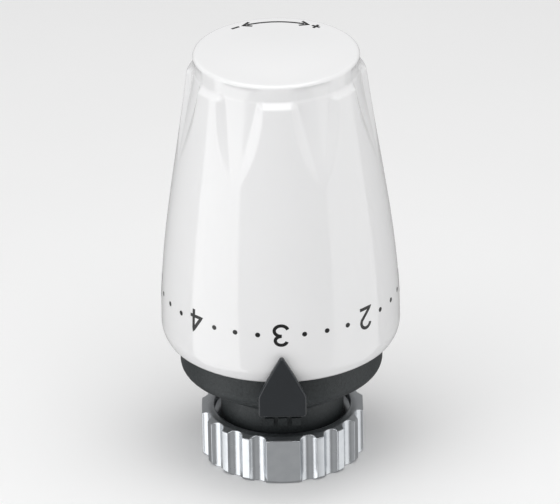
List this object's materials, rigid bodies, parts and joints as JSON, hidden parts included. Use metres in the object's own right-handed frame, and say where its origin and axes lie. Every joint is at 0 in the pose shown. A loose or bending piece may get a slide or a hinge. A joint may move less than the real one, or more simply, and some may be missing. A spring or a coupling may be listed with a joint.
{
  "type": "thermostatic radiator valve head",
  "caption": "Thermostatic radiator valve head: a liquid sensor under a white turning cap with a dial, on a black socket with a union nut.",
  "frame": {"origin": "on the head's axis, at the plane of the union nut's mouth", "axes": "+Z along the axis from the union nut to the cap's crown; -Y towards the setting pointer"},
  "size_m": [0.053, 0.0549, 0.0979],
  "materials": {
    "cap_white": "injection-moulded gloss ABS",
    "socket_black": "fine-grained moulded nylon",
    "pointer_slate": "satin moulded ABS",
    "nut_nickel": "nickel-plated turned brass",
    "sleeve_grey": "glass-filled nylon",
    "carrier_white": "natural acetal",
    "tappet_acetal": "natural acetal, turned",
    "slip_nylon": "natural nylon",
    "clip_red": "moulded acetal",
    "spring_steel": "drawn stainless steel",
    "screw_steel": "zinc-plated steel",
    "can_brass": "deep-drawn brass",
    "bellows_bronze": "hydroformed bronze",
    "seal_tin": "soldered tin"
  },
  "bodies": {
    "socket": {"base_socket": "socket_black", "setting_pointer": "pointer_slate", "nut_retaining_ring": "spring_steel", "thread_sleeve": "sleeve_grey", "sleeve_screws": "screw_steel", "low_limit_clip": "clip_red", "high_limit_clip": "clip_red"},
    "slip_ring": {"slip_ring": "slip_nylon"},
    "union_nut": {"union_nut": "nut_nickel"},
    "sensor": {"sensor_carrier": "carrier_white", "thrust_washer": "slip_nylon", "sensor_can": "can_brass", "sensor_end_plate": "can_brass", "plunger_bush": "can_brass", "bellows": "bellows_bronze", "can_retaining_ring": "carrier_white", "top_thrust_pad": "carrier_white", "fill_seal": "seal_tin"},
    "plunger": {"plunger_pin": "spring_steel", "bellows_cap": "bellows_bronze", "overtravel_cup": "carrier_white", "overtravel_seat": "spring_steel", "overtravel_spring": "spring_steel"},
    "tappet": {"tappet": "tappet_acetal"},
    "cap": {"control_cap": "cap_white", "drive_ring": "sleeve_grey", "drive_ring_screws": "screw_steel"}
  },
  "joints": [
    {"name": "sensor_lift", "type": "slide", "parent": "socket", "child": "sensor", "axis": [0, 0, 1], "range_m": [-0.00306, 0.00175]},
    {"name": "cap_turn", "type": "hinge", "parent": "sensor", "child": "cap", "pos_m": [0, 0, 0.05], "axis": [0, 0, 1], "range_deg": [-157.5, 90]},
    {"name": "plunger_travel", "type": "slide", "parent": "sensor", "child": "plunger", "axis": [0, 0, 1], "range_m": [-0.0015, 0.0015], "stiffness_N_per_m": 3000, "deforming": ["bellows"]},
    {"name": "overtravel", "type": "slide", "parent": "plunger", "child": "tappet", "axis": [0, 0, 1], "range_m": [0, 0.003], "stiffness_N_per_m": 3000, "springref_m": -0.003, "deforming": ["overtravel_spring"]},
    {"name": "nut_slide", "type": "slide", "parent": "socket", "child": "slip_ring", "axis": [0, 0, 1], "range_m": [-0.0006, 0]},
    {"name": "nut_turn", "type": "hinge", "parent": "slip_ring", "child": "union_nut", "pos_m": [0, 0, 0.0056], "axis": [0, 0, 1], "continuous": true}
  ],
  "couplings": [
    {"joint": "sensor_lift", "follows": "cap_turn", "m_per_rad": 0.0011141}
  ]
}
